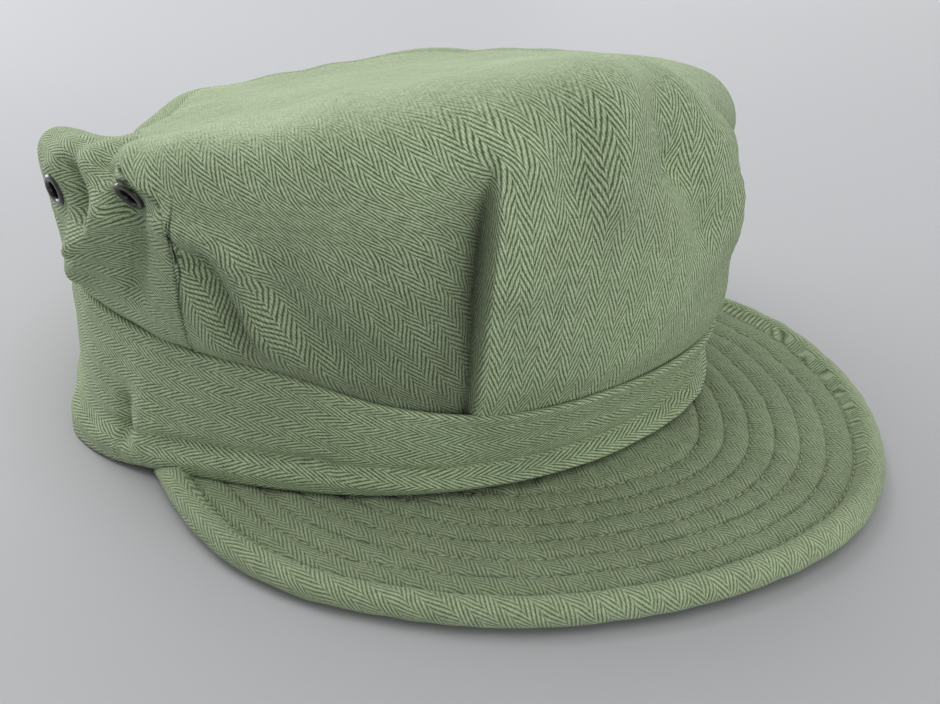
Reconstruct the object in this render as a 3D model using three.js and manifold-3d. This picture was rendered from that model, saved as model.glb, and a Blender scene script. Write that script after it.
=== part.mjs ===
// A soft peaked cap of herringbone cotton, resting on a flat surface.
// Millimetres, +Z up, the peak towards -Y, the wearer's right towards -X.
// Angles go round the head in degrees: 0 at the front, negative on the wearer's right.

import * as THREE from 'three';
import { mergeVertices } from 'three/addons/utils/BufferGeometryUtils.js';
import Module from 'manifold-3d';

// Driving dimensions
const headHalfWidth = 91.9;
const headHalfLength = 100.3;
const headCentre = new THREE.Vector3(-0.6, 29.5, 0);
const clothThickness = 1.6;
const bandThickness = 2.2;
const sewingGap = 0.5;

const brimThickness = 5.0;
const brimArch = 1.6;
const brimHalfWidth = 95.9;
const brimReach = 110.4;
const brimWaist = -50.8;
const brimSquareness = 0.98;
const brimEndAngle = 98;
const brimEndOnHead = 80;
const rimRadius = 3.5;
const rimWidth = 7.4;
const rimGroove = 0.7;

const topHeight = 84;
const topFallToBack = 0.212;
const topFallToLeft = 0.015;
const topLiftStart = 0.5;

const pleatAngle = 24.5;
const pleatDepth = 4.5;
const pleatCrest = 2.4;

const seamAngle = 61;
const seamLean = 5.5;
const seamLeanHeight = 0.3;

const eyeletRadius = 4.1;
const eyeletBore = 2.1;
const eyeletBarrel = 2.8;
const eyeletHole = 3.2;
const eyeletFlat = 7;

const cloth = new THREE.MeshStandardMaterial({ color: 0x8fa07a, roughness: 0.95, metalness: 0 });
const brimCloth = new THREE.MeshStandardMaterial({ color: 0x84966f, roughness: 0.95, metalness: 0 });
const blackMetal = new THREE.MeshStandardMaterial({ color: 0x151515, roughness: 0.35, metalness: 0.8 });

// The head band, round the head. "Out" is measured outwards from the head's ellipse.
const bandSections = table(
  ['at', 'topOut', 'topZ', 'creaseOut', 'rollOut', 'bottomOut', 'bottomZ'],
  [
    [-180, 0, 38, 0, 0, 0, 0],
    [-145, -2, 38.3, -1.5, -1, -1, 0],
    [-122, -3, 38.5, -1.5, 0, 0.5, 0.6],
    [-105, -3.5, 39, -1, 3, 4, 2.5],
    [-92, -2.5, 38.7, 0, 5.5, 5.5, 4.6],
    [-82, -2, 38.5, 1, 5, 4, 5.5],
    [-65, 0, 38, 1.5, 3, 2, 5.6],
    [-50, 1, 36.5, 0.5, 2, 1, 6],
    [-36, 3, 30.5, 0.5, 3, 1.5, 6.4],
    [-22, 5, 27, 1, 4.5, 2, 6.8],
    [0, 6, 26.5, 1, 5, 2.2, 7],
    [22, 6, 25.5, 1, 4.5, 2, 6.8],
    [45, 4, 28, 0.5, 3, 1, 6],
    [65, 1, 35, 0.5, 2, 1, 5.6],
    [82, 0, 38, 0.5, 2, 1.5, 5.5],
    [92, 0, 38.3, 0, 2, 1.5, 4.6],
    [105, 0, 38.5, 0, 1, 1, 2.5],
    [122, 0, 38.5, 0, 0.5, 0.5, 0.6],
    [145, 0, 38.2, 0, 0, 0, 0],
  ],
);

// The crown, round the head: how far and how high its shoulder stands, how much the wall
// bellies out between, and how square the shoulder is.
const crownSections = table(
  ['at', 'shoulderOut', 'shoulderZ', 'belly', 'squareness'],
  [
    [-180, 7, 66, 0, 4],
    [-150, 5, 66, 0, 4],
    [-130, 3, 67, 1, 5],
    [-108, 3, 80, 2, 7],
    [-98, 3.5, 84, 2, 7],
    [-80, 6, 88.5, 0, 6],
    [-60, 8, 93.5, 1, 5],
    [-40, 9, 97.5, 2, 4.5],
    [-20, 11, 104, 3, 4],
    [0, 12, 107.5, 4, 4],
    [20, 11, 106, 4, 4.5],
    [40, 8.5, 102.5, 3.5, 5],
    [65, 8, 96, 3, 5],
    [90, 8, 90, 3, 4],
    [120, 8, 82, 2, 4],
    [150, 8, 74, 1, 4],
  ],
);

// The seam between the front-and-top panel and the back panel, the same on both sides.
const seamCourse = table(
  ['at', 'climb'],
  [
    [61, 0],
    [62, 0.31],
    [66, 0.39],
    [70, 0.44],
    [76, 0.5],
    [84, 0.535],
    [100, 0.55],
    [180, 0.55],
  ],
);

// Main folds of the soft wall: a line from one place to another, its half width and how far
// it stands out (positive) or sinks in (negative).
const folds = table(
  ['fromAt', 'fromZ', 'toAt', 'toZ', 'halfWidth', 'out'],
  [
    [-66, 76, -50, 46, 5, -3],
    [-62, 84, -46, 56, 6, 1.5],
    [-81, 78, -82, 68, 5, -3.5],
    [-82, 66, -88, 44, 4, 2.5],
    [-74, 72, -76, 46, 5, -3],
    [-14, 100, -8, 60, 8, -1.2],
    [8, 104, 14, 62, 8, -1.5],
    [66, 82, 52, 46, 6, -2.5],
    [84, 74, 86, 46, 6, -2.5],
    [118, 66, 112, 44, 8, -2],
    [160, 58, 150, 42, 8, -1.5],
    [-150, 58, -140, 42, 8, -1.5],
  ],
);

const eyelets = table(
  ['name', 'at', 'climb'],
  [
    ['eyelet_right_front', -74, 0.39],
    ['eyelet_right_back', -93, 0.375],
    ['eyelet_left_front', 74, 0.39],
    ['eyelet_left_back', 93, 0.375],
  ],
);
const eyeletPlaces = eyelets.map(eyeletPlace);

// Small helpers
function table(names, rows) {
  return rows.map((row) => Object.fromEntries(names.map((name, i) => [name, row[i]])));
}

function smoothStep(x, from, to) {
  return THREE.MathUtils.smoothstep(x, from, to);
}

// A smooth closed curve through one column of a table, with no overshoot at its highs and lows.
function around(sections, column, angle) {
  const count = sections.length;
  const at = (i) => sections[((i % count) + count) % count].at + 360 * Math.floor(i / count);
  const value = (i) => sections[((i % count) + count) % count][column];
  const slope = (i) => {
    const before = (value(i) - value(i - 1)) / (at(i) - at(i - 1));
    const after = (value(i + 1) - value(i)) / (at(i + 1) - at(i));
    if (before * after <= 0) return 0;
    const spanBefore = at(i) - at(i - 1);
    const spanAfter = at(i + 1) - at(i);
    return (before * spanAfter + after * spanBefore) / (spanBefore + spanAfter);
  };
  const turned = THREE.MathUtils.euclideanModulo(angle + 180, 360) - 180;
  let i = 0;
  while (i < count - 1 && at(i + 1) <= turned) i += 1;
  const span = at(i + 1) - at(i);
  const t = (turned - at(i)) / span;
  const rise = t * t * (3 - 2 * t);
  const leave = t * (1 - t) * (1 - t) * span * slope(i);
  const arrive = t * t * (t - 1) * span * slope(i + 1);
  return value(i) * (1 - rise) + value(i + 1) * rise + leave + arrive;
}

// Straight lines through a table that isn't closed.
function along(sections, column, at) {
  const last = sections.length - 1;
  let i = 0;
  while (i < last - 1 && sections[i + 1].at <= at) i += 1;
  const [a, b] = [sections[i], sections[i + 1]];
  const t = THREE.MathUtils.clamp((at - a.at) / (b.at - a.at), 0, 1);
  return THREE.MathUtils.lerp(a[column], b[column], t);
}

function onHead(angle, out, z) {
  const turn = THREE.MathUtils.degToRad(angle);
  return new THREE.Vector3(
    (headHalfWidth + out) * Math.sin(turn),
    -(headHalfLength + out) * Math.cos(turn),
    z,
  );
}

// The crown's smooth form. Climb goes from 0 at the band, through 0.5 at the shoulder, to 1 at
// the middle of the top. Each section is a rounded square corner, and the top is a plane that
// falls to the back, lifted towards its edge.
function topPlane(x, y) {
  return topHeight - topFallToLeft * x - topFallToBack * y;
}

function crownForm(column, climb) {
  const nearSeam = 1 - smoothStep(Math.abs(Math.abs(column) - seamAngle), 0, 20);
  const lean = seamLean * nearSeam * Math.max(0, 1 - climb / seamLeanHeight);
  const angle = column + Math.sign(column) * lean;
  const section = (name) => around(crownSections, name, angle);
  const turn = (climb * Math.PI) / 2;
  const power = section('squareness');
  const size = (Math.cos(turn) ** power + Math.sin(turn) ** power) ** (1 / power);
  const across = Math.cos(turn) / size;
  const up = Math.sin(turn) / size;
  const hemZ = around(bandSections, 'topZ', angle) + sewingGap;
  const hemOut = around(bandSections, 'topOut', angle) - sewingGap;
  const shoulder = onHead(angle, section('shoulderOut'), section('shoulderZ'));
  const lift = (shoulder.z - topPlane(shoulder.x, shoulder.y)) * smoothStep(across, topLiftStart, 1);
  const topZ = topPlane(shoulder.x * across, shoulder.y * across) + lift;
  const z = hemZ + (topZ - hemZ) * up;
  const height = THREE.MathUtils.clamp((z - hemZ) / (shoulder.z - hemZ), 0, 1);
  const straight = THREE.MathUtils.lerp(hemOut, section('shoulderOut'), height);
  const out = straight + section('belly') * Math.sin(Math.PI * height);
  const point = onHead(angle, out, z);
  point.x *= across;
  point.y *= across;
  return { point, angle, height };
}

function crownNormal(column, climb) {
  if (climb > 0.97) return new THREE.Vector3(topFallToLeft, topFallToBack, 1).normalize();
  const low = Math.max(climb - 0.02, 0);
  const round = crownForm(column + 1, climb).point.sub(crownForm(column - 1, climb).point);
  const upward = crownForm(column, climb + 0.02).point.sub(crownForm(column, low).point);
  return round.cross(upward).normalize();
}

// How far the folds and the two front pleats move the cloth along its normal. A pleat's front
// edge stands proud and the cloth behind it dips, most at mid height.
function foldedOut({ point, angle, height }) {
  const arc = ((headHalfWidth + headHalfLength) / 2) * THREE.MathUtils.degToRad(1);
  let out = 0;
  for (const fold of folds) {
    const from = new THREE.Vector2(fold.fromAt * arc, fold.fromZ);
    const line = new THREE.Vector2(fold.toAt * arc, fold.toZ).sub(from);
    const here = new THREE.Vector2(angle * arc, point.z).sub(from);
    const t = THREE.MathUtils.clamp(here.dot(line) / line.lengthSq(), 0, 1);
    const away = here.distanceTo(line.clone().multiplyScalar(t)) / fold.halfWidth;
    out += fold.out * Math.exp(-away * away);
  }
  out *= smoothStep(height, 0, 0.2);
  const forward = (pleatAngle - 5 * height * height - Math.abs(angle)) * arc;
  const strength = (0.35 + 0.65 * smoothStep(height, 0, 0.45)) * (1 - smoothStep(height, 0.62, 0.95));
  const step = smoothStep(forward, -1, 1.2);
  const crest = pleatCrest * step * Math.exp(-Math.max(forward, 0) / 7);
  const dip = pleatDepth * (1 - step) * Math.exp(-Math.max(-forward, 0) / 9);
  return out + strength * (crest - dip);
}

function foldedPoint(column, climb) {
  const form = crownForm(column, climb);
  const onWall = climb > 0.97 ? 0 : foldedOut(form) * (1 - smoothStep(climb, 0.55, 0.75));
  return form.point.addScaledVector(crownNormal(column, climb), onWall);
}

// Where an eyelet sits, and its outward direction square to the cloth.
function eyeletPlace({ at, climb }) {
  const point = foldedPoint(at, climb);
  const round = foldedPoint(at + 2, climb).sub(foldedPoint(at - 2, climb));
  const upward = foldedPoint(at, climb + 0.03).sub(foldedPoint(at, climb - 0.03));
  return { point, normal: round.cross(upward).normalize() };
}

// The outside of the cloth, or with a depth its inside. Round an eyelet the cloth is clamped flat.
function crownPoint(column, climb, depth) {
  const point = foldedPoint(column, climb);
  for (const place of eyeletPlaces) {
    const offset = point.clone().sub(place.point);
    const clamped = 1 - smoothStep(offset.length(), eyeletFlat, 2 * eyeletFlat);
    point.addScaledVector(place.normal, -clamped * offset.dot(place.normal));
  }
  return point.addScaledVector(crownNormal(column, climb), -depth);
}

// A closed wall between two grids of points, outer and inner, each a list of columns.
function wallBetween(outer, inner, { round = false, pole = false } = {}) {
  const columns = outer.length;
  const rows = outer[0].length;
  const positions = [];
  const add = (grid) => grid.flat().forEach((p) => positions.push(p.x, p.y, p.z));
  add(outer);
  add(inner);
  const at = (side, c, r) => side * columns * rows + (pole && r === rows - 1 ? 0 : c % columns) * rows + r;
  const faces = [];
  const quad = (a, b, c, d) => {
    if (a !== b && b !== c && c !== a) faces.push(a, b, c);
    if (a !== c && c !== d && d !== a) faces.push(a, c, d);
  };
  const lastColumn = round ? columns : columns - 1;
  for (let c = 0; c < lastColumn; c += 1) {
    for (let r = 0; r < rows - 1; r += 1) {
      quad(at(0, c, r), at(0, c + 1, r), at(0, c + 1, r + 1), at(0, c, r + 1));
      quad(at(1, c, r + 1), at(1, c + 1, r + 1), at(1, c + 1, r), at(1, c, r));
    }
    quad(at(1, c, 0), at(1, c + 1, 0), at(0, c + 1, 0), at(0, c, 0));
    if (!pole) quad(at(0, c, rows - 1), at(0, c + 1, rows - 1), at(1, c + 1, rows - 1), at(1, c, rows - 1));
  }
  if (!round) {
    for (let r = 0; r < rows - 1; r += 1) {
      quad(at(0, 0, r), at(0, 0, r + 1), at(1, 0, r + 1), at(1, 0, r));
      quad(at(1, lastColumn, r), at(1, lastColumn, r + 1), at(0, lastColumn, r + 1), at(0, lastColumn, r));
    }
  }
  return solidFrom(positions, faces);
}

// A bar that carries a closed section along a row of stations, with a flat cap at each end.
function carriedSection(stations) {
  const count = stations[0].length;
  const positions = [];
  stations.flat().forEach((p) => positions.push(p.x, p.y, p.z));
  const faces = [];
  for (let s = 0; s < stations.length - 1; s += 1) {
    for (let i = 0; i < count; i += 1) {
      const [a, b] = [s * count + i, s * count + ((i + 1) % count)];
      faces.push(a, b + count, a + count, a, b, b + count);
    }
  }
  for (const [s, flip] of [[0, false], [stations.length - 1, true]]) {
    const middle = positions.length / 3;
    const centre = stations[s].reduce((sum, p) => sum.add(p), new THREE.Vector3()).divideScalar(count);
    positions.push(centre.x, centre.y, centre.z);
    for (let i = 0; i < count; i += 1) {
      const [a, b] = [s * count + i, s * count + ((i + 1) % count)];
      faces.push(...(flip ? [middle, a, b] : [middle, b, a]));
    }
  }
  return solidFrom(positions, faces);
}

function solidFrom(positions, faces) {
  const geometry = new THREE.BufferGeometry();
  geometry.setAttribute('position', new THREE.Float32BufferAttribute(positions, 3));
  geometry.setIndex(faces);
  return mergeVertices(geometry, 1e-4);
}

// Angles every few degrees, with closer ones where the cloth turns sharply.
function columnAngles(from, to, step, closer) {
  const angles = [];
  for (let a = from; a <= to; a += step) angles.push(a);
  const kept = angles.filter((a) => closer.every((c) => Math.abs(a - c) > 0.4));
  return [...kept, ...closer].sort((a, b) => a - b);
}

// Crown: front-and-top panel, one cloth from the band over the shoulder to the middle of the top
function frontAndTopPanel() {
  const wallRows = 10;
  const topClimbs = [0.6, 0.65, 0.71, 0.79, 0.89, 1];
  const nearPleat = [-5.4, -3.8, -2.2, -1, -0.2, 0.6, 1.6, 3.2].map((a) => pleatAngle + a);
  const nearSeam = [61.01, 61.5, 62.01, 64, 66.01, 68];
  const angles = columnAngles(-180, 172.5, 7.5, [...nearPleat, ...nearSeam].flatMap((a) => [a, -a]));
  const grid = (depth) => angles.map((column) => {
    const start = along(seamCourse, 'climb', Math.abs(column));
    const toShoulder = (r) => THREE.MathUtils.lerp(start, topClimbs[0], r / wallRows);
    const climbs = [...Array.from({ length: wallRows }, (_, r) => toShoulder(r)), ...topClimbs];
    return climbs.map((climb) => crownPoint(column, climb, depth));
  });
  return wallBetween(grid(0), grid(clothThickness), { round: true, pole: true });
}

// Crown: back panel, from seam to seam round the back
function backPanel() {
  const rows = 12;
  const clear = 0.45;
  const nearSeam = [seamAngle + 2 * clear, 62.7, 64.5, 66.5, 68.5];
  const nearEyelets = [70.8, 73, 75.2, 77.5, 81, 84, 87.5, 89.8, 92, 94.2, 96.4, 98.8];
  const angles = columnAngles(102, 258, 6, [...nearSeam, ...nearEyelets].flatMap((a) => [a, 360 - a]));
  const grid = (depth) => angles.map((column) => {
    const turned = column > 180 ? column - 360 : column;
    const end = along(seamCourse, 'climb', Math.abs(turned) - clear) - 0.008;
    return Array.from({ length: rows }, (_, r) => crownPoint(turned, end * (r / (rows - 1)), depth));
  });
  return wallBetween(grid(0), grid(clothThickness));
}

// Head band: a bottom edge, a roll, the hem's crease and a plain wall up to the top edge
function bandProfile(angle, thickness) {
  const section = (name) => around(bandSections, name, angle);
  const bottomZ = section('bottomZ');
  const tall = section('topZ') - bottomZ;
  const middleOut = THREE.MathUtils.lerp(section('creaseOut'), section('topOut'), 0.4);
  return [
    onHead(angle, section('bottomOut') - thickness, bottomZ),
    onHead(angle, section('rollOut') - thickness, bottomZ + 0.12 * tall),
    onHead(angle, section('creaseOut') - thickness, bottomZ + 0.28 * tall),
    onHead(angle, middleOut - thickness, bottomZ + 0.64 * tall),
    onHead(angle, section('topOut') - thickness, section('topZ')),
  ];
}

function headBand() {
  const angles = Array.from({ length: 72 }, (_, i) => -180 + i * 5);
  const grid = (thickness) => angles.map((angle) => bandProfile(angle, thickness));
  return wallBetween(grid(0), grid(bandThickness), { round: true });
}

// Brim: a flat quilted plate with a rolled rim, its inner edge under the band
function rimPoint(angle, inwards) {
  const turn = THREE.MathUtils.degToRad(angle);
  const [s, c] = [Math.sin(turn), Math.cos(turn)];
  const shaped = (v) => Math.sign(v) * Math.abs(v) ** brimSquareness;
  return new THREE.Vector3(
    brimHalfWidth * shaped(s) - s * inwards,
    brimWaist - brimReach * shaped(c) + c * inwards,
    0,
  );
}

function brimStation(share) {
  const angle = share * brimEndAngle;
  const lift = brimArch * Math.max(0, Math.cos(THREE.MathUtils.degToRad(angle))) ** 2;
  const inner = onHead(share * brimEndOnHead, -1, 0);
  const groove = rimPoint(angle, rimWidth);
  const rimMiddle = rimPoint(angle, rimRadius);
  const outwards = rimPoint(angle, 0).sub(rimMiddle).normalize();
  const point = (base, z) => new THREE.Vector3(base.x, base.y, z + lift);
  const section = [];
  for (const t of [0, 0.5, 0.85]) section.push(point(inner.clone().lerp(groove, t), brimThickness));
  section.push(point(groove, brimThickness - rimGroove));
  for (const turn of [125, 95, 60, 30, 0, -30, -60, -90]) {
    const a = THREE.MathUtils.degToRad(turn);
    const base = rimMiddle.clone().addScaledVector(outwards, rimRadius * Math.cos(a));
    section.push(point(base, rimRadius + rimRadius * Math.sin(a)));
  }
  for (const t of [0.5, 0]) section.push(point(inner.clone().lerp(rimMiddle, t), 0));
  return section;
}

function brim() {
  const count = 41;
  const stations = Array.from({ length: count }, (_, i) => brimStation(-1 + (2 * i) / (count - 1)));
  return carriedSection(stations);
}

// Eyelets: a flange outside the cloth, a barrel through it and a washer inside
function eyeletRing() {
  const proud = 0.5;
  const inside = clothThickness + 0.5;
  const profile = [
    [eyeletBore, -inside - 0.6],
    [eyeletRadius - 0.3, -inside - 0.6],
    [eyeletRadius - 0.3, -inside],
    [eyeletBarrel, -inside],
    [eyeletBarrel, proud],
    [eyeletRadius, proud],
    [eyeletRadius - 0.2, proud + 0.6],
    [eyeletRadius - 0.9, proud + 1],
    [eyeletBore + 0.3, proud + 0.7],
    [eyeletBore, proud + 0.2],
    [eyeletBore, -inside - 0.6],
  ].map(([r, z]) => new THREE.Vector2(r, z));
  return new THREE.LatheGeometry(profile, 12);
}

function eyeletTurn(place) {
  return new THREE.Quaternion().setFromUnitVectors(new THREE.Vector3(0, 1, 0), place.normal);
}

// Joining and cutting
const wasm = await Module();
wasm.setup();

function toSolid(geometry) {
  const bare = geometry.clone();
  for (const name of ['normal', 'uv']) bare.deleteAttribute(name);
  const merged = mergeVertices(bare, 1e-4);
  return new wasm.Manifold(new wasm.Mesh({
    numProp: 3,
    vertProperties: new Float32Array(merged.attributes.position.array),
    triVerts: new Uint32Array(merged.index.array),
  }));
}

function toGeometry(solid) {
  const mesh = solid.getMesh();
  const geometry = new THREE.BufferGeometry();
  geometry.setAttribute('position', new THREE.BufferAttribute(new Float32Array(mesh.vertProperties), 3));
  geometry.setIndex(new THREE.BufferAttribute(new Uint32Array(mesh.triVerts), 1));
  return geometry;
}

function pierced(geometry) {
  let solid = toSolid(geometry);
  for (const place of eyeletPlaces) {
    const punch = new THREE.CylinderGeometry(eyeletHole, eyeletHole, 12, 16);
    punch.applyQuaternion(eyeletTurn(place)).translate(place.point.x, place.point.y, place.point.z);
    solid = solid.subtract(toSolid(punch));
  }
  return toGeometry(solid);
}

// The cap
function named(name, geometry, material) {
  geometry.computeVertexNormals();
  const mesh = new THREE.Mesh(geometry, material);
  mesh.name = name;
  return mesh;
}

const cap = new THREE.Group();
const onTheHead = new THREE.Group();
onTheHead.position.copy(headCentre);
cap.add(onTheHead);
onTheHead.add(named('crown_front_and_top', frontAndTopPanel(), cloth));
onTheHead.add(named('crown_back_panel', pierced(backPanel()), cloth));
onTheHead.add(named('head_band', headBand(), cloth));
onTheHead.add(named('brim', brim(), brimCloth));
eyelets.forEach((eyelet, i) => {
  const ring = named(eyelet.name, eyeletRing(), blackMetal);
  ring.position.copy(eyeletPlaces[i].point);
  ring.quaternion.copy(eyeletTurn(eyeletPlaces[i]));
  onTheHead.add(ring);
});

export default cap;
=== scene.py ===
"""The looks of a soft herringbone cotton cap with a quilted brim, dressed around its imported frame.

Shapes are worked out in millimetres round the head, whose centre is on the floor, and become
metres of the frame when a piece is made. Angles go round the head in degrees, 0 at the front and
negative on the wearer's right. Climb goes up the crown: 0 at the band, 0.5 at the shoulder and 1
at the middle of the top.
"""

import math

import bpy
import numpy as np
from mathutils import Matrix, Vector

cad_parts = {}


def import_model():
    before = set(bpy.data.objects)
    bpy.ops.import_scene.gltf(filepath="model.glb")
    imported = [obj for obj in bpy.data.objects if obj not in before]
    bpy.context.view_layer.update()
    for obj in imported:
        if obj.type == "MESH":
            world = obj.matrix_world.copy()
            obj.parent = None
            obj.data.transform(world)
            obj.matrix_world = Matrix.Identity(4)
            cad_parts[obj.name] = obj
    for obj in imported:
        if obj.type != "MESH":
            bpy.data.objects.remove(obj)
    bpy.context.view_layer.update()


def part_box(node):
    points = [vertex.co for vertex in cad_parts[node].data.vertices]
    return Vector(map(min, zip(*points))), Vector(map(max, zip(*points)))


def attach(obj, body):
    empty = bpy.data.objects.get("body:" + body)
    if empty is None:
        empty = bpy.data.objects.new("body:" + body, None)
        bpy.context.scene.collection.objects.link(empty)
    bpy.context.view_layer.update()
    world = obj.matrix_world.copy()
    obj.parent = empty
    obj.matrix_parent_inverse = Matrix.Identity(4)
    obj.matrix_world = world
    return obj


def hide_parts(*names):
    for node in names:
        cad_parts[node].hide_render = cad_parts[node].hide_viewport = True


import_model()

MM = 0.001
brim_low, brim_high = (np.array(corner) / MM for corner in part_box("brim"))
band_high = np.array(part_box("head_band")[1]) / MM


# Driving sizes, in millimetres and degrees
HEAD_HALF_WIDTH = 91.9
HEAD_HALF_LENGTH = 100.3
HEAD_CENTRE = np.array([(brim_low[0] + brim_high[0]) / 2, band_high[1] - HEAD_HALF_LENGTH, 0.0])
ARC = (HEAD_HALF_WIDTH + HEAD_HALF_LENGTH) / 2 * math.radians(1)

CLOTH_THICKNESS = 1.0
# The length of cloth from the band to the middle of the top
CLOTH_FOR_CLIMB = 110.0
# How far the crown's hem goes down behind the band's top edge, and in from its face
HEM_TUCK = 2.2
HEM_INSET = 0.4

BAND_THICKNESS = 2.0
BAND_EASE = 1.02
BAND_ROW_DROP = 2.2

BRIM_THICKNESS = 5.0
BRIM_ARCH = 1.6
BRIM_HALF_WIDTH = 95.9
BRIM_REACH = 110.4
BRIM_WAIST = -50.8
BRIM_SQUARENESS = 0.98
BRIM_END = 102.0
RIM_RADIUS = 3.5
RIM_WIDTH = 7.4
RIM_TURN = 118.0
ROW_SPACING = 6.4
ROW_COUNT = 7
ROW_DEPTH = 0.75

TOP_HEIGHT = 84.0
TOP_FALL_TO_BACK = 0.212
TOP_FALL_TO_LEFT = 0.015

PLEAT_ANGLE = 24.5
PLEAT_DEPTH = 7.5
PLEAT_CREST = 2.8
PLEAT_CREST_AT = 1.8
PLEAT_LEAN = 5.0
PLEAT_END_ANGLE = 22.0
PLEAT_END_UP = 60.0
GRAIN_LEAN = 38.0

SEAM_ANGLE = 59.5
SEAM_LEAN = 4.5
SEAM_LEAN_HEIGHT = 0.34
SEAM_LEAN_WIDTH = 20.0
SEAM_LIP = 0.3
SEAM_ROLL = 2.0

EYELET_RADIUS = 4.1
EYELET_BORE = 2.2
EYELET_FLAT = 5.0
EYELET_CUT = 2.9

STITCH_LENGTH = 1.9
STITCH_THICKNESS = 0.42

V_WIDTH = 5.4
TWILL_PITCH = 0.85
TWILL_ANGLE = 65.5
YARN_PITCH = 0.45


def table(names, rows):
    """The columns of a table as arrays, by name."""
    return dict(zip(names.split(), np.array(rows, float).T))


BAND = table("at top_out top_z crease_out roll_out bottom_out bottom_z", [
    [-180, 0, 38, 0, 0, 0, 0],
    [-145, -2, 38.3, -1.5, -1, -1, 0],
    [-122, -3, 38.5, -2, -1, -0.5, 0],
    [-105, -3.5, 39, -2, 1, 2, 0],
    [-92, -2.5, 38.7, 1.5, 6.5, 6.8, 0],
    [-82, -2, 38.5, 2.5, 6, 5.6, 1.2],
    [-75, -1.5, 38.2, 2.5, 4.5, 3.6, 2.8],
    [-65, 0, 38, 1.5, 3, 2, 4.8],
    [-50, 1, 36.5, 0.5, 2, 1, 6],
    [-36, 3, 30.5, 0.5, 3, 1.5, 6.4],
    [-22, 5, 27, 1, 4.5, 2, 6.8],
    [0, 6, 26.5, 1, 5, 2.2, 7],
    [22, 6, 25.5, 1, 4.5, 2, 6.8],
    [40, 1, 29, -1.5, 1, -1.5, 6],
    [62, -1, 35, -1.5, 0, -1, 5.6],
    [82, 0, 38, 0.5, 2, 1.5, 5.5],
    [92, 0, 38.3, 0, 2, 1.5, 4.6],
    [105, 0, 38.5, 0, 1, 1, 2.5],
    [122, 0, 38.5, 0, 0.5, 0.5, 0.6],
    [145, 0, 38.2, 0, 0, 0, 0],
])

CROWN = table("at shoulder_out shoulder_z belly squareness", [
    [-180, 7, 68, 0, 4],
    [-168, 6, 67.5, 0, 5],
    [-158, 5, 62, 0, 5],
    [-146, 4, 58.5, 0, 5],
    [-130, 2, 58.5, 1, 6],
    [-118, -2, 68, 1, 10],
    [-107, -1, 80, 1, 14],
    [-98, 1.5, 83.5, 1.5, 16],
    [-80, 5, 86, 1.5, 16],
    [-60, 5, 93.5, 6, 15],
    [-40, 5.5, 99.5, 7, 12],
    [-20, 8.5, 107.5, 5.5, 9],
    [0, 10.5, 111, 4, 7.5],
    [20, 11, 105, 3, 5],
    [40, 11, 100.5, 1, 5],
    [65, 7, 88, 2, 5],
    [90, 8, 85.5, 2, 4],
    [120, 8, 80.5, 2, 4],
    [137, 8, 78.5, 2, 4],
    [150, 8, 75, 1, 4],
])

SEAM = table("at climb", [
    [59.5, 0], [60, 0.36], [60.8, 0.395], [62.5, 0.425], [65.5, 0.44], [67.5, 0.46],
    [69.5, 0.478], [71.5, 0.5], [77, 0.56], [86, 0.62], [115, 0.6], [140, 0.56], [180, 0.55],
])

# The back panel's edge lies a little beyond the seam, under the front panel.
UNDER_SEAM = table("at climb", [
    [58.1, 0.34], [58.8, 0.39], [60.3, 0.425], [62.3, 0.453], [65.2, 0.47], [67, 0.487],
    [69.2, 0.505], [71, 0.53], [77, 0.585], [86, 0.645], [115, 0.625], [140, 0.585], [180, 0.575],
])

# Folds of the wall: a line from one place to another, its half width on the side of the lower
# angles and on the side of the higher ones, and how far it stands out.
FOLDS = table("from_at from_z to_at to_z low_side high_side out", [
    [-61.6, 74, -53.5, 70, 3, 4, 2.4],
    [-52, 66, -50.4, 47, 3.4, 4, 2.8],
    [-57.5, 67, -53.5, 44, 4, 3, -4.2],
    [-48, 58, -37, 35, 7, 9, -3.6],
    [-40, 92, -30, 66, 9, 9, 1.4],
    [-83, 79, -79, 70, 4, 4, -5],
    [-75, 84, -70, 80, 3.5, 3.5, -3.5],
    [-73, 72, -80, 62, 5, 3, 4.4],
    [-80, 62, -88, 50, 6, 3, 2.8],
    [-88, 50, -90, 42, 6, 4, 1.2],
    [-70, 68, -74, 54, 4, 7, -4.6],
    [-101, 70, -98, 60, 8, 5, -1.5],
    [-16.5, 86, -18.5, 62, 5, 5, 1.8],
    [-11, 96, -12, 82, 5, 4, -2.4],
    [-4.5, 95, -6.5, 78, 4, 6, 2.8],
    [4.5, 93, 6.5, 80, 5, 8, -4.2],
    [7.5, 80, 13, 62, 6, 8, -4.2],
    [14, 95, 17, 82, 6, 8, 2],
    [24, 74, 50, 63, 5, 5, -2.8],
    [24, 48, 50, 50, 8, 8, -2.0],
    [66, 82, 52, 46, 6, 6, -2.5],
    [84, 74, 86, 46, 6, 6, -2.5],
    [118, 66, 112, 44, 8, 8, -2],
    [160, 58, 150, 42, 8, 8, -1.5],
    [-150, 58, -140, 42, 8, 8, -1.5],
])

# Dips and swellings of the top: where, how wide each way, and how high.
TOP_BUMPS = table("x y wide long height", [
    [-70, 20, 20, 32, -6.5],
    [-50, 66, 24, 22, -6],
    [-45, -15, 26, 30, -2.5],
    [30, -20, 50, 40, -1.5],
    [62, -50, 24, 26, -3],
    [10, 60, 50, 26, -1.0],
])

# How the soft rim strays from an even curve
RIM_STRAY = table("at out", [
    [-110, -4], [-95, -2.2], [-85, 0], [-75, 1.4], [-65, 1.1], [-55, -0.6], [-45, -1.5],
    [-35, -2.2], [-25, -2.8], [-15, -2.4], [-5, -1.4], [5, 0.2], [15, 1.2], [25, 1], [35, 0.1],
    [60, -0.2], [75, 0.8], [90, -0.6], [110, -2],
])

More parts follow.
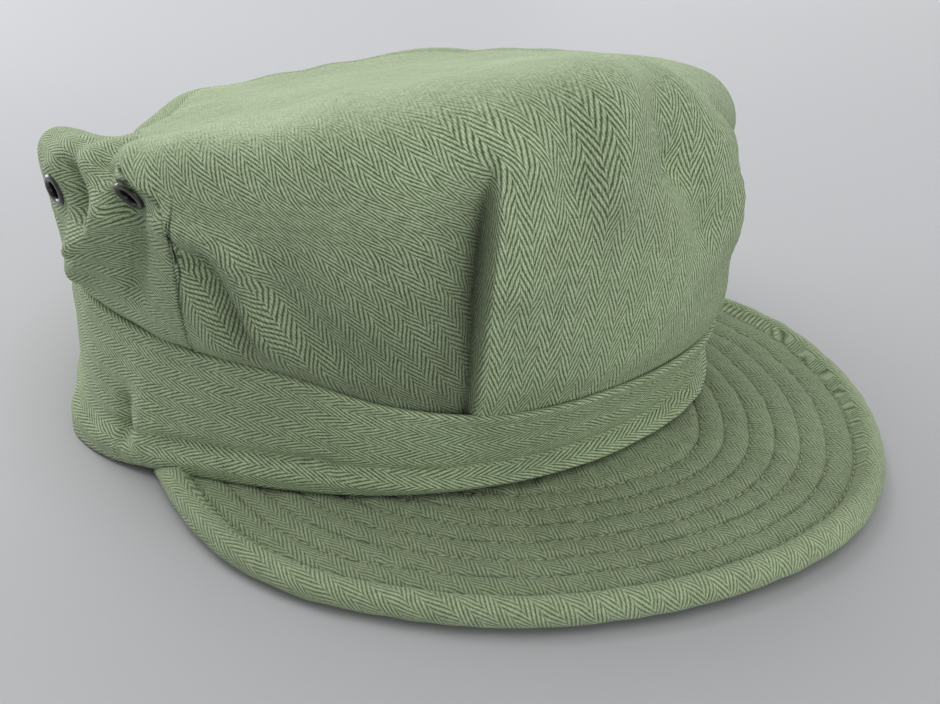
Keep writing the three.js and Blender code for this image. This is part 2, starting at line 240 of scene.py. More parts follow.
# Dents and swellings of the band: from one place to another, as shares of its height.
BAND_FOLDS = table("from_at from_share to_at to_share low_side high_side out", [
    [-79.5, 0.25, -80, 0.5, 4, 2, -2.4],
    [-75.5, 0.32, -74, 0.55, 3, 5, 1.8],
    [-72, 0.27, -45, 0.25, 3, 2, -1.2],
    [14, 0.2, 16, 0.45, 2.5, 2.5, -1.0],
    [20, 0.2, 21, 0.5, 2.5, 2.5, 0.8],
])

# Vent eyelets: their places, and which way they face where a fold turns them
EYELETS = [
    ("eyelet_right_front", -69, 0.42, (-0.815, -0.2, -0.5)),
    ("eyelet_right_back", -88, 0.4, (-0.98, -0.1, -0.16)),
    ("eyelet_left_front", 74, 0.39, None),
    ("eyelet_left_back", 93, 0.375, None),
]


# Shape helpers
def smooth_step(x, low, high):
    """0 below low, 1 above high, and an S between them."""
    t = np.clip((x - low) / (high - low), 0, 1)
    return t * t * (3 - 2 * t)


def around(sections, column, angle):
    """A smooth closed curve through one column of a table: cubic pieces, each slope the mean of
    the two beside it, weighted by the other's span, and level at highs and lows."""
    at = np.concatenate([sections["at"] - 360, sections["at"], sections["at"] + 360])
    value = np.tile(sections[column], 3)
    span = np.diff(at)
    rise = np.diff(value) / span
    slope = np.zeros(len(at))
    slope[1:-1] = (rise[:-1] * span[1:] + rise[1:] * span[:-1]) / (span[:-1] + span[1:])
    slope[1:-1][rise[:-1] * rise[1:] <= 0] = 0
    turned = (np.asarray(angle, float) + 180) % 360 - 180
    piece = np.clip(np.searchsorted(at, turned, side="right") - 1, 0, len(at) - 2)
    t = (turned - at[piece]) / span[piece]
    blend = t * t * (3 - 2 * t)
    leave = t * (1 - t) ** 2 * span[piece] * slope[piece]
    arrive = t * t * (t - 1) * span[piece] * slope[piece + 1]
    return value[piece] * (1 - blend) + value[piece + 1] * blend + leave + arrive


def on_head(angle, out, z):
    """A point that far outside the head's ellipse, at a height."""
    turn = np.radians(angle)
    x = (HEAD_HALF_WIDTH + out) * np.sin(turn)
    y = -(HEAD_HALF_LENGTH + out) * np.cos(turn)
    return np.stack(np.broadcast_arrays(x, y, z), -1)


def unit(vectors):
    """The same vectors at length 1."""
    return vectors / np.maximum(np.linalg.norm(vectors, axis=-1, keepdims=True), 1e-9)


def running_total(steps, axis=0):
    """The sum of the steps so far, from a first place at zero."""
    total = np.cumsum(steps, axis)
    return np.concatenate([np.zeros_like(total.take([0], axis)), total], axis)


def run_along(points, axis=0):
    """How far along a line each of its points lies: the running total of its steps' lengths."""
    return running_total(np.linalg.norm(np.diff(points, axis=axis), axis=-1), axis)


def waves(seed, x, y, wavelength, count=12):
    """Gentle unevenness: the mean of sine waves across the cloth in seeded directions, with
    wavelengths from 0.6 to 1.6 times the given one. Its range is about -1 to 1."""
    draw = np.random.default_rng(seed)
    total = 0
    for way, size, start in zip(*draw.random((3, count))):
        length = wavelength * (0.6 + size)
        turned = x * math.cos(2 * math.pi * way) + y * math.sin(2 * math.pi * way)
        total = total + np.sin(2 * math.pi * (turned / length + start))
    return total / math.sqrt(count) * 0.7


def fold_relief(folds, x, z, scale_z=1.0):
    """The sum of folds: each is a bell curve of the distance from its line, with a width of its
    own on each side."""
    total = 0
    for at0, z0, at1, z1, low_side, high_side, out in zip(*folds.values()):
        start = np.array([at0 * ARC, z0 * scale_z])
        line = np.array([at1 * ARC, z1 * scale_z]) - start
        along = ((x - start[0]) * line[0] + (z - start[1]) * line[1]) / (line @ line)
        t = np.clip(along, 0, 1)
        away = np.hypot(x - start[0] - t * line[0], z - start[1] - t * line[1])
        side = (line[0] * (z - start[1]) - line[1] * (x - start[0])) / np.hypot(*line)
        middle = (low_side + high_side) / 2
        width = middle + (high_side - low_side) / 2 * np.clip(side / middle, -1, 1)
        total = total + out * np.exp(-((away / width) ** 2))
    return total


# Crown
def top_plane(x, y):
    """The height of the sloping plane that the top lies in."""
    return TOP_HEIGHT - TOP_FALL_TO_LEFT * x - TOP_FALL_TO_BACK * y


def crown_form(column, climb):
    """The crown before its folds. Each section, from the band to the middle of the top, is a
    rounded corner of the form |across|^p + |up|^p = 1. Returns the points, and their true angle,
    height up the wall and share across."""
    column = (np.asarray(column, float) + 180) % 360 - 180
    near_seam = 1 - smooth_step(np.abs(np.abs(column) - SEAM_ANGLE), 0, SEAM_LEAN_WIDTH)
    lean = SEAM_LEAN * near_seam * np.maximum(0, 1 - climb / SEAM_LEAN_HEIGHT)
    angle = column + np.sign(column) * lean
    turn = np.clip(climb, 0, 1) * math.pi / 2
    power = around(CROWN, "squareness", angle)
    cosine = np.maximum(np.cos(turn), 0)
    size = (cosine**power + np.sin(turn) ** power) ** (1 / power)
    across = cosine / size
    up = np.sin(turn) / size
    shoulder_out = around(CROWN, "shoulder_out", angle)
    shoulder_z = around(CROWN, "shoulder_z", angle)
    hem_z = around(BAND, "top_z", angle) - HEM_TUCK
    hem_out = around(BAND, "top_out", angle) - HEM_INSET
    shoulder = on_head(angle, shoulder_out, shoulder_z)
    over_plane = shoulder_z - top_plane(shoulder[..., 0], shoulder[..., 1])
    lift = over_plane * smooth_step(across, 0.5, 1)
    top_z = top_plane(shoulder[..., 0] * across, shoulder[..., 1] * across) + lift
    z = hem_z + (top_z - hem_z) * up
    height = np.clip((z - hem_z) / (shoulder_z - hem_z), 0, 1)
    straight = hem_out + (shoulder_out - hem_out) * height
    out = straight + around(CROWN, "belly", angle) * np.sin(math.pi * height)
    out = out - HEM_TUCK * (1 - smooth_step(height, 0.02, 0.14))
    point = on_head(angle, out, z) * np.stack([across, across, np.ones_like(across)], -1)
    return point, angle, height, across


def crown_normal(column, climb):
    """Outward direction: the cross product of the ways round and up the crown."""
    low = np.maximum(climb - 0.02, 0)
    around_way = crown_form(column + 1, climb)[0] - crown_form(column - 1, climb)[0]
    up_way = crown_form(column, np.minimum(climb + 0.02, 0.99))[0] - crown_form(column, low)[0]
    normal = unit(np.cross(around_way, up_way))
    level = unit(np.array([TOP_FALL_TO_LEFT, TOP_FALL_TO_BACK, 1.0]))
    return unit(normal + (level - normal) * smooth_step(climb, 0.9, 0.97)[..., None])


def ahead_of_pleat(angle, height):
    """How far in front of the pleat's line a place is. The line leans forward as it rises."""
    return (PLEAT_ANGLE - PLEAT_LEAN * height**2 - np.abs(angle)) * ARC


def pleat(angle, height):
    """How far the cloth stands out at the two front pleats: it falls slowly to the pleat's line
    from behind, rises steeply from there to a crest, and falls away again towards the front."""
    forward = ahead_of_pleat(angle, height)
    strength = (0.3 + 0.7 * smooth_step(height, 0, 0.5)) * (1 - smooth_step(height, 0.6, 0.82))
    back = np.minimum(forward, 0)
    behind = 0.35 * np.exp(back / 3) + 0.65 * np.exp(back / 10)
    rise = smooth_step(forward, -0.2 * PLEAT_CREST_AT, PLEAT_CREST_AT)
    fall = np.exp(-np.maximum(forward - PLEAT_CREST_AT, 0) / 8)
    return strength * (PLEAT_CREST * rise * fall - PLEAT_DEPTH * behind * (1 - rise))


def painted_shade(column, climb):
    """How much shade is painted into the cloth's colour where the pleat hides it from the light: all
    of it at the pleat's line, less and less behind it, and a little low down on the side."""
    _, angle, height, _ = crown_form(column, climb)
    forward = ahead_of_pleat(angle, height)
    back = np.minimum(forward, 0)
    behind = 0.5 * np.exp(back / (2.5 + 7 * height)) + 0.5 * np.exp(back / 20)
    hidden = behind * np.exp(-np.maximum(forward, 0) / 0.8) * (1 - smooth_step(height, 0.55, 0.85))
    side = smooth_step(-forward, 0, 6) * (1 - smooth_step(-forward, 50, 62))
    return np.minimum(hidden + 0.4 * side * (1 - smooth_step(height, 0, 0.7)), 1)


def folded_point(column, climb):
    """The crown's form moved along its normal by the folds, pleats and a slight unevenness."""
    column, climb = np.broadcast_arrays(np.asarray(column, float), np.asarray(climb, float))
    point, angle, height, across = crown_form(column, climb)
    stand = pleat(angle, height)
    wall = 1 - smooth_step(climb, 0.55, 0.75)
    relief = fold_relief(FOLDS, angle * ARC, point[..., 2]) * smooth_step(height, 0, 0.3)
    uneven = 0.35 * waves(3, angle * ARC, point[..., 2], 22)
    bumps = 0
    for x, y, wide, long, rise in zip(*TOP_BUMPS.values()):
        away = ((point[..., 0] - x) / wide) ** 2 + ((point[..., 1] - y) / long) ** 2
        bumps = bumps + rise * np.exp(-away)
    bumps = bumps + 0.6 * waves(4, point[..., 0], point[..., 1], 45)
    move = (relief + stand) * wall + uneven * (1 - smooth_step(climb, 0.6, 0.9))
    lifted = np.zeros_like(point)
    lifted[..., 2] = bumps * (1 - smooth_step(across, 0.8, 0.97))
    return point + crown_normal(column, climb) * move[..., None] + lifted


def eyelet_place(at, climb, facing):
    """Where an eyelet sits and which way it faces: square to the cloth unless a fold turns it."""
    point = folded_point(at, climb)
    round_way = folded_point(at + 2, climb) - folded_point(at - 2, climb)
    up_way = folded_point(at, climb + 0.03) - folded_point(at, climb - 0.03)
    return point, unit(np.array(facing) if facing else np.cross(round_way, up_way))


EYELET_PLACES = [eyelet_place(*row[1:]) for row in EYELETS]


def eyelet_point(column, climb, beyond):
    """The back panel's outside, pressed flat round each eyelet. At the seam, where beyond is
    near zero or more, it is only pressed inwards."""
    point = folded_point(column, climb)
    at_seam = smooth_step(beyond, -2, -0.5)
    for place, normal in EYELET_PLACES:
        offset = point - place
        near = 1 - smooth_step(np.linalg.norm(offset, axis=-1), EYELET_FLAT, 1.8 * EYELET_FLAT)
        press = offset @ normal
        press = np.where(press < 0, press * (1 - at_seam), press)
        point = point - normal * (near * press)[..., None]
    return point


def uneven_columns(low, high, count, closer):
    """Angles from low to high, closer together round each named place (at, width, how much)."""
    fine = np.linspace(low, high, 4001)
    density = np.ones_like(fine)
    for at, width, more in closer:
        for side in (at, -at, 360 - at):
            density += more * np.exp(-(((fine - side) / width) ** 2))
    total = running_total((density[1:] + density[:-1]) / 2)
    return np.interp(np.linspace(0, total[-1], count), total, fine)


STEP_COUNT = 60
CLIMB_STEPS = np.linspace(0, 1, STEP_COUNT + 1)[None, :]


def at_climb(values, climb):
    """Read a table with one row for each column of the cloth and one value for each step."""
    place = np.clip(climb, 0, 1) * STEP_COUNT
    low = np.minimum(place.astype(int), STEP_COUNT - 1)
    rows = np.arange(len(values))[:, None]
    return values[rows, low] + (values[rows, low + 1] - values[rows, low]) * (place - low)


def length_up(column, climb):
    """How far up the cloth a point is: the length of the crown's form from the band to it."""
    return at_climb(run_along(crown_form(column[:, :1], CLIMB_STEPS)[0], 1), climb)


# Meshes
def add_object(name, data):
    """A new object in the scene, at its origin."""
    made = bpy.data.objects.new(name, data)
    bpy.context.scene.collection.objects.link(made)
    return made


class Shell:
    """Collects grids of points, with their cloth coordinates, into one closed mesh."""

    def __init__(self):
        self.points = []
        self.count = 0
        self.faces = []
        self.cloth = []

    def add_points(self, points):
        """Adds points in their order and returns the number of the first."""
        start = self.count
        self.points.append(points.reshape(-1, 3))
        self.count += self.points[-1].shape[0]
        return start

    def add_faces(self, corners, cloth):
        """Faces as rows of vertex numbers, with a cloth coordinate at each corner."""
        self.faces.append(corners)
        self.cloth.append(cloth)

    def add_grid(self, start, cloth, wrap=False, turned=False, rows_wrap=False, cut=None):
        """Quads between neighbouring columns and rows of a grid, except those that are cut out.
        The cloth grid has one more column or row where the grid joins its own start."""
        columns = cloth.shape[0] - (1 if wrap else 0)
        rows = cloth.shape[1] - (1 if rows_wrap else 0)
        c = np.arange(columns if wrap else columns - 1)[:, None]
        r = np.arange(rows if rows_wrap else rows - 1)[None, :]
        quads = []
        coordinates = []
        for dc, dr in ((0, 0), (1, 0), (1, 1), (0, 1)):
            vertex = ((c + dc) % columns) * rows + (r + dr) % rows + start
            quads.append(np.broadcast_to(vertex, (c.size, r.size)).ravel())
            coordinates.append(cloth[np.broadcast_to(c + dc, (c.size, r.size)),
                                     np.broadcast_to(r + dr, (c.size, r.size))].reshape(-1, 2))
        order = [3, 2, 1, 0] if turned else [0, 1, 2, 3]
        kept = np.full(c.size * r.size, True) if cut is None else ~cut.ravel()
        self.add_faces(np.stack([quads[i] for i in order], -1)[kept],
                       np.stack([coordinates[i] for i in order], 1)[kept])

    def add_hole_walls(self, outer, inner, rows, cut, cloth):
        """Quads between the edges of the same holes in two grids, one behind the other."""
        for along_rows in (False, True):
            for cut_first in (False, True):
                first, second = (cut[:, :-1], cut[:, 1:]) if along_rows else (cut[:-1], cut[1:])
                cells = np.argwhere((first & ~second) if cut_first else (second & ~first))
                near = cells + ([0, 1] if along_rows else [1, 0])
                far = cells + 1
                if along_rows == cut_first:
                    near, far = far, near
                near_cloth = cloth[near[:, 0], near[:, 1]]
                far_cloth = cloth[far[:, 0], far[:, 1]]
                near = near[:, 0] * rows + near[:, 1]
                far = far[:, 0] * rows + far[:, 1]
                self.add_faces(np.stack([outer + far, outer + near, inner + near, inner + far], -1),
                               np.stack([far_cloth, near_cloth, near_cloth, far_cloth], 1))

    def add_strip(self, near, far, edge, cloth):
        """Quads between the same edge of two grids, one behind the other."""
        start, end = edge[:-1], edge[1:]
        quads = np.stack([near + start, near + end, far + end, far + start], -1)
        self.add_faces(quads, np.stack([cloth[:-1], cloth[1:], cloth[1:], cloth[:-1]], 1))

    def add_fan(self, ring, middle, cloth, turned=False):
        """Triangles between a closed ring of vertices and a point in its middle."""
        way = -1 if turned else 1
        point = np.full(len(ring), self.add_points(middle))
        self.add_faces(np.stack([ring, np.roll(ring, -1), point], -1)[:, ::way], cloth[:, ::way])

    def finish(self, name, material, attributes=()):
        """One object at the origin, in metres of the frame."""
        points = (np.concatenate(self.points) + HEAD_CENTRE) * MM
        faces = [face for group in self.faces for face in group.tolist()]
        cloth = np.concatenate([group.reshape(-1, 2) for group in self.cloth])
        mesh = bpy.data.meshes.new(name)
        mesh.from_pydata(points.tolist(), [], faces)
        layer = mesh.uv_layers.new(name="cloth")
        layer.data.foreach_set("uv", (cloth * MM).astype(np.float32).ravel())
        for label, values in dict(attributes).items():
            attribute = mesh.attributes.new(label, "FLOAT", "POINT")
            attribute.data.foreach_set("value", np.asarray(values, np.float32).ravel())
        mesh.polygons.foreach_set("use_smooth", np.ones(len(mesh.polygons), bool))
        mesh.materials.append(material)
        mesh.validate()
        mesh.update()
        return add_object(name, mesh)


# Panels
def pleat_length(column, climb):
    """How much longer the cloth is, from the middle of the front, for going down into the pleat
    and out again: the summed difference between its slope's length and its level run."""
    _, angle, height, _ = crown_form(column[:, :1], CLIMB_STEPS)
    run = np.abs(np.diff(column[:, :1] * ARC, axis=0))
    rise = np.diff(pleat(angle, height), axis=0)
    longer = running_total(np.hypot(run, rise) - run)
    middle = np.argmin(np.abs(column[:, 0]))
    return at_climb(longer - longer[middle], climb)


def grain(column, climb, up):
    """Cloth coordinates, across and along the weave's columns. The front's columns stand
    upright. The pleat takes in a wedge of cloth, so behind it the cloth is turned about the
    pleat's upper end, and its columns lean forward as they fall. The turn grows gradually round
    that end, over the top of the pleat."""
    _, angle, height, _ = crown_form(column, climb)
    forward = ahead_of_pleat(angle, height)
    round_end = np.degrees(np.arctan2(forward, PLEAT_END_UP - up)) % 360
    share = smooth_step(round_end, 90, 250) * smooth_step(np.abs(column), 0, 14)
    turn = math.radians(GRAIN_LEAN) * np.sign(column) * share
    end_across = np.sign(column) * PLEAT_END_ANGLE * ARC
    away = column * ARC + pleat_length(column, climb) - end_across
    above = up - PLEAT_END_UP
    across = end_across + away * np.cos(turn) - above * np.sin(turn)
    along = PLEAT_END_UP + away * np.sin(turn) + above * np.cos(turn) * (0.82 + 0.18 * share)
    return np.stack([across, along], -1)


def seam_climb(edge, angle):
    """The climb of the seam, or of the edge under it, which is the same on both sides."""
    return np.interp(np.abs(angle), edge["at"], edge["climb"])[:, None]


def seam_lip(column):
    """How far the front panel's edge stands out along the seam: on the right side it is rolled
    outwards where it turns forward, and on the left it lies nearly flat."""
    angle = np.abs(column)
    rolled = smooth_step(angle, 61.5, 64.5) * (1 - smooth_step(angle, 67, 73)) * (column < 0)
    ends = smooth_step(angle, 58, 59.5) * (1 - smooth_step(angle, 74, 84))
    return (SEAM_LIP + SEAM_ROLL * rolled) * ends


def front_and_top_panel(material):
    """One cloth from the band, over the shoulder, to the middle of the top. Behind the seam it
    starts at the seam's climb. Two fifths of its rows lie below the shoulder, and a quarter of
    them, closest together, over it."""
    rows, count = 108, 400
    columns = uneven_columns(-180, 180, count + 1, [(60.1, 1.2, 5), (22, 4, 2.5)])
    start = seam_climb(SEAM, columns)
    share = np.linspace(0, 1, rows)[None, :]
    below = np.maximum(0.47, start + 0.015)
    over = np.maximum(0.62, below + 0.015)
    climb = start
    spans = ((0, 0.4, below - start), (0.4, 0.66, over - below), (0.66, 1, 1 - over))
    for low, high, part in spans:
        climb = climb + part * np.clip((share - low) / (high - low), 0, 1)
    column = np.broadcast_to(columns[:, None], climb.shape)
    cloth = grain(column, climb, length_up(column, climb))
    from_seam = (climb - start) * CLOTH_FOR_CLIMB
    lip = seam_lip(column) * np.exp(-((from_seam / 3.5) ** 2))
    face, normal = folded_point(column, climb), crown_normal(column, climb)
    shell = Shell()
    starts = []
    for depth in (0.0, CLOTH_THICKNESS):
        points = face + normal * (lip - depth)[..., None]
        starts.append(shell.add_points(points[:-1, :-1]))
        shell.add_grid(starts[-1], cloth[:, :-1], wrap=True, turned=depth > 0)
        ring = starts[-1] + np.arange(count) * (rows - 1) + rows - 2
        corners = np.stack([cloth[:-1, -2], cloth[1:, -2], cloth[:-1, -1]], 1)
        shell.add_fan(ring, points[:-1, -1].mean(0), corners, turned=depth > 0)
    hem = np.arange(count + 1) % count * (rows - 1)
    shell.add_strip(starts[1], starts[0], hem, cloth[:, 0])
    on_top = smooth_step(climb[:-1, :-1], 0.46, 0.56)
    # Painted shade in the pleats and low on the side wall, carried to the material.
    dark = painted_shade(column, climb)[:-1, :-1]
    return shell.finish("crown_cloth", material, {
        "on_top": np.tile(np.append(on_top, 1), 2),
        "painted_shade": np.tile(np.append(dark, 0), 2),
    })


def back_panel(material):
    """The cloth round the back, from the band to the seam, with its weave turned a quarter. Its
    edge sinks a little under the front panel, and the eyelets' holes go through it."""
    rows = 64
    low = UNDER_SEAM["at"][0]
    columns = uneven_columns(low, 360 - low, 300, [(60.1, 1.5, 4), (70, 5, 1)])
    angle = (columns + 180) % 360 - 180
    climb = seam_climb(UNDER_SEAM, angle) * np.linspace(0, 1, rows)[None, :]
    column = np.broadcast_to(columns[:, None], climb.shape)
    cloth = np.stack([length_up(column, climb), column * ARC], -1)
    seam = seam_climb(SEAM, angle)
    side = (SEAM_ANGLE + 0.4 - np.abs(angle))[:, None] * ARC
    beyond = np.where(seam < 0.3, side, np.maximum((climb - seam) * CLOTH_FOR_CLIMB, side))
    near = np.exp(-((np.minimum(beyond, 0) / 5) ** 2))
    under = (1.3 - 0.8 * smooth_step(np.abs(angle), 84, 94))[:, None]
    under = under * smooth_step(beyond, -1.2, 0.2)
    sink = -under - 0.5 * (seam_lip(angle) - SEAM_LIP)[:, None] * near
    face, normal = eyelet_point(column, climb, beyond), crown_normal(column, climb)
    middle = (face[1:, 1:] + face[:-1, 1:] + face[1:, :-1] + face[:-1, :-1]) / 4
    cut = np.full(middle.shape[:2], False)
    for place, _ in EYELET_PLACES:
        cut |= np.linalg.norm(middle - place, axis=-1) < EYELET_CUT
    shell = Shell()
    starts = []
    for depth in (0.0, CLOTH_THICKNESS):
        starts.append(shell.add_points(face + normal * (sink - depth)[..., None]))
        shell.add_grid(starts[-1], cloth, turned=depth > 0, cut=cut)
    outer, inner = starts
    shell.add_hole_walls(outer, inner, rows, cut, cloth)
    hem = np.arange(len(columns)) * rows
    end = np.arange(rows)
    shell.add_strip(inner, outer, hem, cloth[:, 0])
    shell.add_strip(outer, inner, hem + rows - 1, cloth[:, -1])
    shell.add_strip(outer, inner, end, cloth[0])
    shell.add_strip(inner, outer, end + hem[-1], cloth[-1])
    return shell.finish("crown_back_cloth", material)


# Head band
BAND_SHARES = [0, 0.12, 0.28, 0.64, 1.0]
CREASE_SHARE = 0.27


def band_out(angle, share):
    """How far the band's face stands out: a smooth curve up through its bottom edge, roll,
    crease, middle and top edge, with its folds."""
    names = ["bottom_out", "roll_out", "crease_out", "top_out"]
    bottom, roll, crease, top = (around(BAND, name, angle) for name in names)
    values = [bottom, roll, crease, crease + (top - crease) * 0.4, top]
    out = np.zeros(np.broadcast(angle, share).shape)
    spans = zip(BAND_SHARES, BAND_SHARES[1:], values, values[1:])
    for place, (low, high, start, end) in enumerate(spans):
        t = smooth_step(share, low, high)
        t = t if place < 2 else 0.5 * (t + (share - low) / (high - low))
        out = np.where((share >= low) & (share <= high), start + (end - start) * t, out)
    height = around(BAND, "top_z", angle) - around(BAND, "bottom_z", angle)
    up = share * height
    relief = fold_relief(BAND_FOLDS, angle * ARC, up, 32)
    edge = smooth_step(share, 0, 0.1) * (1 - smooth_step(share, 0.85, 1))
    attached = 1 - smooth_step(np.abs(angle), 78, 90)
    hem = -0.9 * attached * np.exp(-(((share - CREASE_SHARE) * height / 1.1) ** 2))
    stitched = -0.3 * np.exp(-(((1 - share) * height - BAND_ROW_DROP) / 0.7) ** 2)
    uneven = 0.25 * waves(5, angle * ARC, up, 16)
    return out + relief * edge + hem + stitched + uneven * edge


def band_point(angle, share, depth=0.0):
    """A point of the band's face, or inside it at a depth."""
    bottom_z = around(BAND, "bottom_z", angle)
    z = bottom_z + share * (around(BAND, "top_z", angle) - bottom_z)
    return on_head(angle, band_out(angle, share) - depth, z)


def head_band(material):
    """The band's section, a doubled strip with rounded edges, carried round the head."""
    angle = np.linspace(-180, 180, 481)[:, None]
    face = np.linspace(0, 1, 40)[None, :]
    lining = np.linspace(1, 0, 14)[None, :]
    top, bottom = np.array([[1.0]]), np.array([[0.0]])
    half = BAND_THICKNESS / 2
    turn = np.radians([30, 60, 90, 120, 150])
    depth = half - half * np.cos(turn)
    over = np.outer(0.8 * half * np.sin(turn), [0, 0, 1])
    under = np.outer(0.4 * half * (1 - np.sin(turn)), [0, 0, 1])
    section = np.concatenate([
        band_point(angle, face),
        band_point(angle, top, depth) + over,
        band_point(angle, lining, BAND_THICKNESS),
        (band_point(angle, bottom, depth) + under)[:, ::-1],
    ], axis=1)
    section[..., 2] = np.maximum(section[..., 2], 0)
    along = run_along(np.concatenate([section, section[:, :1]], 1), 1)
    across = np.broadcast_to(angle * ARC * BAND_EASE, along.shape)
    top_edge = face.size - 1
    cloth = np.stack([along - along[:, [top_edge]], across], -1)
    shell = Shell()
    shell.add_grid(shell.add_points(section[:-1]), cloth, wrap=True, rows_wrap=True)
    return shell.finish("band_cloth", material)


# Brim
def rim_point(angle, inwards):
    """A point that far inside the brim's outline, a slightly squared ellipse."""
    turn = np.radians(angle)
    s, c = np.sin(turn), np.cos(turn)
    inwards = inwards - around(RIM_STRAY, "out", angle)
    x = BRIM_HALF_WIDTH * np.sign(s) * np.abs(s) ** BRIM_SQUARENESS - s * inwards
    y = BRIM_WAIST - BRIM_REACH * np.sign(c) * np.abs(c) ** BRIM_SQUARENESS + c * inwards
    return np.stack(np.broadcast_arrays(x, y), -1)


def brim_depth(angle):
    """How far inwards the band's inside lies, where a line straight in meets its ellipse."""
    wide, long = HEAD_HALF_WIDTH - 1, HEAD_HALF_LENGTH - 1
    start = rim_point(angle, 0)
    way = rim_point(angle, 1) - start
    a = (way[..., 0] / wide) ** 2 + (way[..., 1] / long) ** 2
    b = start[..., 0] * way[..., 0] / wide**2 + start[..., 1] * way[..., 1] / long**2
    c = (start[..., 0] / wide) ** 2 + (start[..., 1] / long) ** 2 - 1
    return np.maximum((-b - np.sqrt(np.maximum(b * b - a * c, 0))) / a, 1.5)


def row_relief(inwards, along):
    """The quilted face: a round swelling between each two rows of stitches, with puckers that
    run across each row."""
    rows = (inwards - RIM_WIDTH) / ROW_SPACING
    inside = 1 - smooth_step(rows, ROW_COUNT - 1, ROW_COUNT - 0.6)
    swell = np.abs(np.sin(math.pi * np.clip(rows, 0, ROW_COUNT - 1))) ** 0.55
    pucker = waves(8, along, inwards * 0.35, 5.5) * 0.16 + waves(9, along, inwards, 14) * 0.2
    return ROW_DEPTH * (swell - 1) * inside + pucker


def brim_lift(angle):
    """How far the brim arches off the floor: most at the front and not at all at the sides."""
    return BRIM_ARCH * np.maximum(0, np.cos(np.radians(angle))) ** 2


def brim(material):
    """The brim's section, carried round its outline: a quilted face, a seam, a rolled rim and a
    flat underside. Its stations are sines, so that they lie closer together at the ends."""
    stations, face_rows, last_turn = 361, 92, 1.25
    spread = np.sin(np.linspace(-1, 1, stations) * last_turn) / math.sin(last_turn)
    angle = (BRIM_END * spread)[:, None]
    depth = brim_depth(angle)
    seam = np.minimum(RIM_WIDTH, 0.8 * depth)
    radius = np.minimum(RIM_RADIUS, 0.45 * seam)
    run = run_along(rim_point(angle[:, 0], 0))[:, None]
    face = seam + (depth - seam) * np.linspace(1, 0, face_rows)[None, :]
    face_z = BRIM_THICKNESS + row_relief(face, run) * smooth_step(depth, 2, 9)
    turns = np.radians(np.linspace(RIM_TURN, -90, 30))[None, :]
    uneven = 1 + 0.035 * waves(11, run, turns * 9, 9)
    rim = radius - radius * np.cos(turns) * uneven
    rim_z = np.maximum(radius * (1 + np.sin(turns) * uneven) + 0.3, 0)
    unrolled = seam - (radius * (math.radians(RIM_TURN) - turns) + 0.5)
    below = radius + (depth - radius) * np.linspace(0, 1, 14)[None, 1:]
    inwards = np.concatenate([face, rim, below], 1)
    z = np.concatenate([face_z, rim_z, np.zeros_like(below)], 1) + brim_lift(angle)
    section = np.concatenate([rim_point(angle, inwards), z[..., None]], -1)
    flat = rim_point(angle, np.concatenate([face, unrolled, below], 1))
    shell = Shell()
    start = shell.add_points(section)
    shell.add_grid(start, np.concatenate([flat, flat[:, :1]], 1), rows_wrap=True)
    count = z.shape[1]
    for station, turned in ((0, True), (stations - 1, False)):
        ring = start + station * count + np.arange(count)
        corners = np.stack([flat[station]] * 3, 1)
        shell.add_fan(ring, section[station].mean(0), corners, turned)
    quilted = np.zeros_like(z)
    quilted[:, :face_rows] = 1
    return shell.finish("brim_cloth", material, {
        "inwards": np.append(inwards * MM, [0, 0]),
        "quilted": np.append(quilted, [0, 0]),
    })


# Stitches
def on_path(values, run, places):
    """A path's points or directions at given distances along it."""
    return np.stack([np.interp(places, run, values[:, i]) for i in range(3)], -1)


def stitches(name, paths, material, spacing, slant):
    """Small thread capsules laid end to end along paths. Each path is points and outward
    directions; a stitch is a six-sided tube with narrow ends, turned to its place, and slanted
    across its row by some degrees."""
    half = STITCH_THICKNESS / 2
    shape = [(-0.5, 0.3), (-0.36, 0.9), (0.36, 0.9), (0.5, 0.3)]
    local = np.array([[x * STITCH_LENGTH, math.cos(a) * r * half, math.sin(a) * r * half]
                      for x, r in shape for a in np.radians(np.arange(6) * 60)])
    sides = np.array([[k * 6 + i, k * 6 + (i + 1) % 6, k * 6 + 6 + (i + 1) % 6, k * 6 + 6 + i]
                      for k in range(3) for i in range(6)])
    ends = np.array([np.arange(6), np.arange(23, 17, -1)])
    caps = ends[:, [[0, 3, 2, 1], [0, 5, 4, 3]]].reshape(-1, 4)
    faces = np.concatenate([sides[:, ::-1], caps])
    tilt = math.radians(slant)
    shell = Shell()
    for points, outwards in paths:
        run = run_along(points)
        places = np.arange(spacing / 2, run[-1], spacing)
        way = unit(on_path(points, run, places + 0.5) - on_path(points, run, places - 0.5))
        side = unit(np.cross(unit(on_path(outwards, run, places)), way))
        up = np.cross(way, side)
        way, side = (way * math.cos(tilt) + side * math.sin(tilt),
                     side * math.cos(tilt) - way * math.sin(tilt))
        turned = np.einsum("vk,nkj->nvj", local, np.stack([way, side, up], 1))
        start = shell.add_points(on_path(points, run, places)[:, None, :] + turned)
        offsets = start + np.arange(len(places))[:, None, None] * len(local)
        quads = (faces[None] + offsets).reshape(-1, 4)
        shell.add_faces(quads, np.zeros((len(quads), 4, 2)))
    return shell.finish(name, material)


def brim_rows():
    """One path for each row of stitches on the brim. The first lies in the rim's seam."""
    paths = []
    for row in range(ROW_COUNT):
        inwards = RIM_WIDTH + row * ROW_SPACING
        angle = np.linspace(-BRIM_END, BRIM_END, 900)
        angle = angle[brim_depth(angle) > inwards + 1]
        z = BRIM_THICKNESS + brim_lift(angle) - ROW_DEPTH + 0.12
        points = np.concatenate([rim_point(angle, inwards), z[:, None]], -1)
        paths.append((points, np.tile([0.0, 0.0, 1.0], (len(points), 1))))
    return paths


